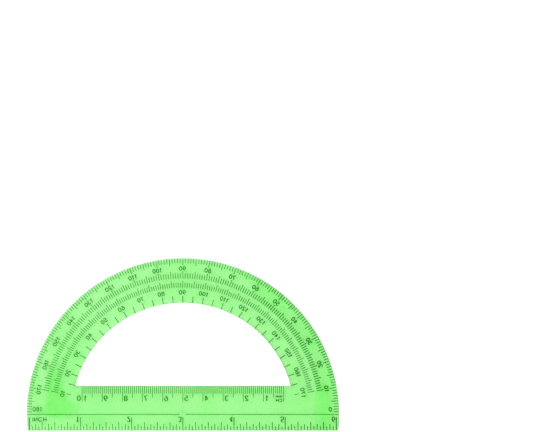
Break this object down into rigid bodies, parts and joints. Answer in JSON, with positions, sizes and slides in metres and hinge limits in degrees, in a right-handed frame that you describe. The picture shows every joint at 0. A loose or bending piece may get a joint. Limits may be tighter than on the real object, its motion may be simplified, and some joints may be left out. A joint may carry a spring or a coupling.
{
  "type": "protractor",
  "caption": "Flat translucent green half-circle protractor with a D-shaped window, degree rings, a centimetre scale and an inch scale, printed mirrored on the back face.",
  "frame": {"origin": "the point that angles are measured from (baseline crossing the 90 degree line), on the reading face that the part lies on", "axes": "+X along the baseline towards the centimetre scale's zero, +Y towards the 90 degree mark, +Z out of the printed face"},
  "size_m": [0.155, 0.0855, 0.0018],
  "materials": {
    "clear_green_plastic": "clear light green, glossy, see-through",
    "dark_green_ink": "thin dark print"
  },
  "bodies": {
    "root": {"protractor_plate": "clear_green_plastic", "outer_degree_scale": "dark_green_ink", "outer_degree_numerals": "dark_green_ink", "outer_fine_ring": "dark_green_ink", "inner_fine_ring": "dark_green_ink", "inner_degree_numerals": "dark_green_ink", "window_degree_scale": "dark_green_ink", "window_tick_right": "dark_green_ink", "window_tick_left": "dark_green_ink", "centimetre_scale": "dark_green_ink", "centimetre_numerals": "dark_green_ink", "inch_scale": "dark_green_ink", "inch_numerals": "dark_green_ink", "baseline_left": "dark_green_ink", "baseline_right": "dark_green_ink", "centre_arc": "dark_green_ink", "centre_tick": "dark_green_ink"}
  },
  "joints": []
}
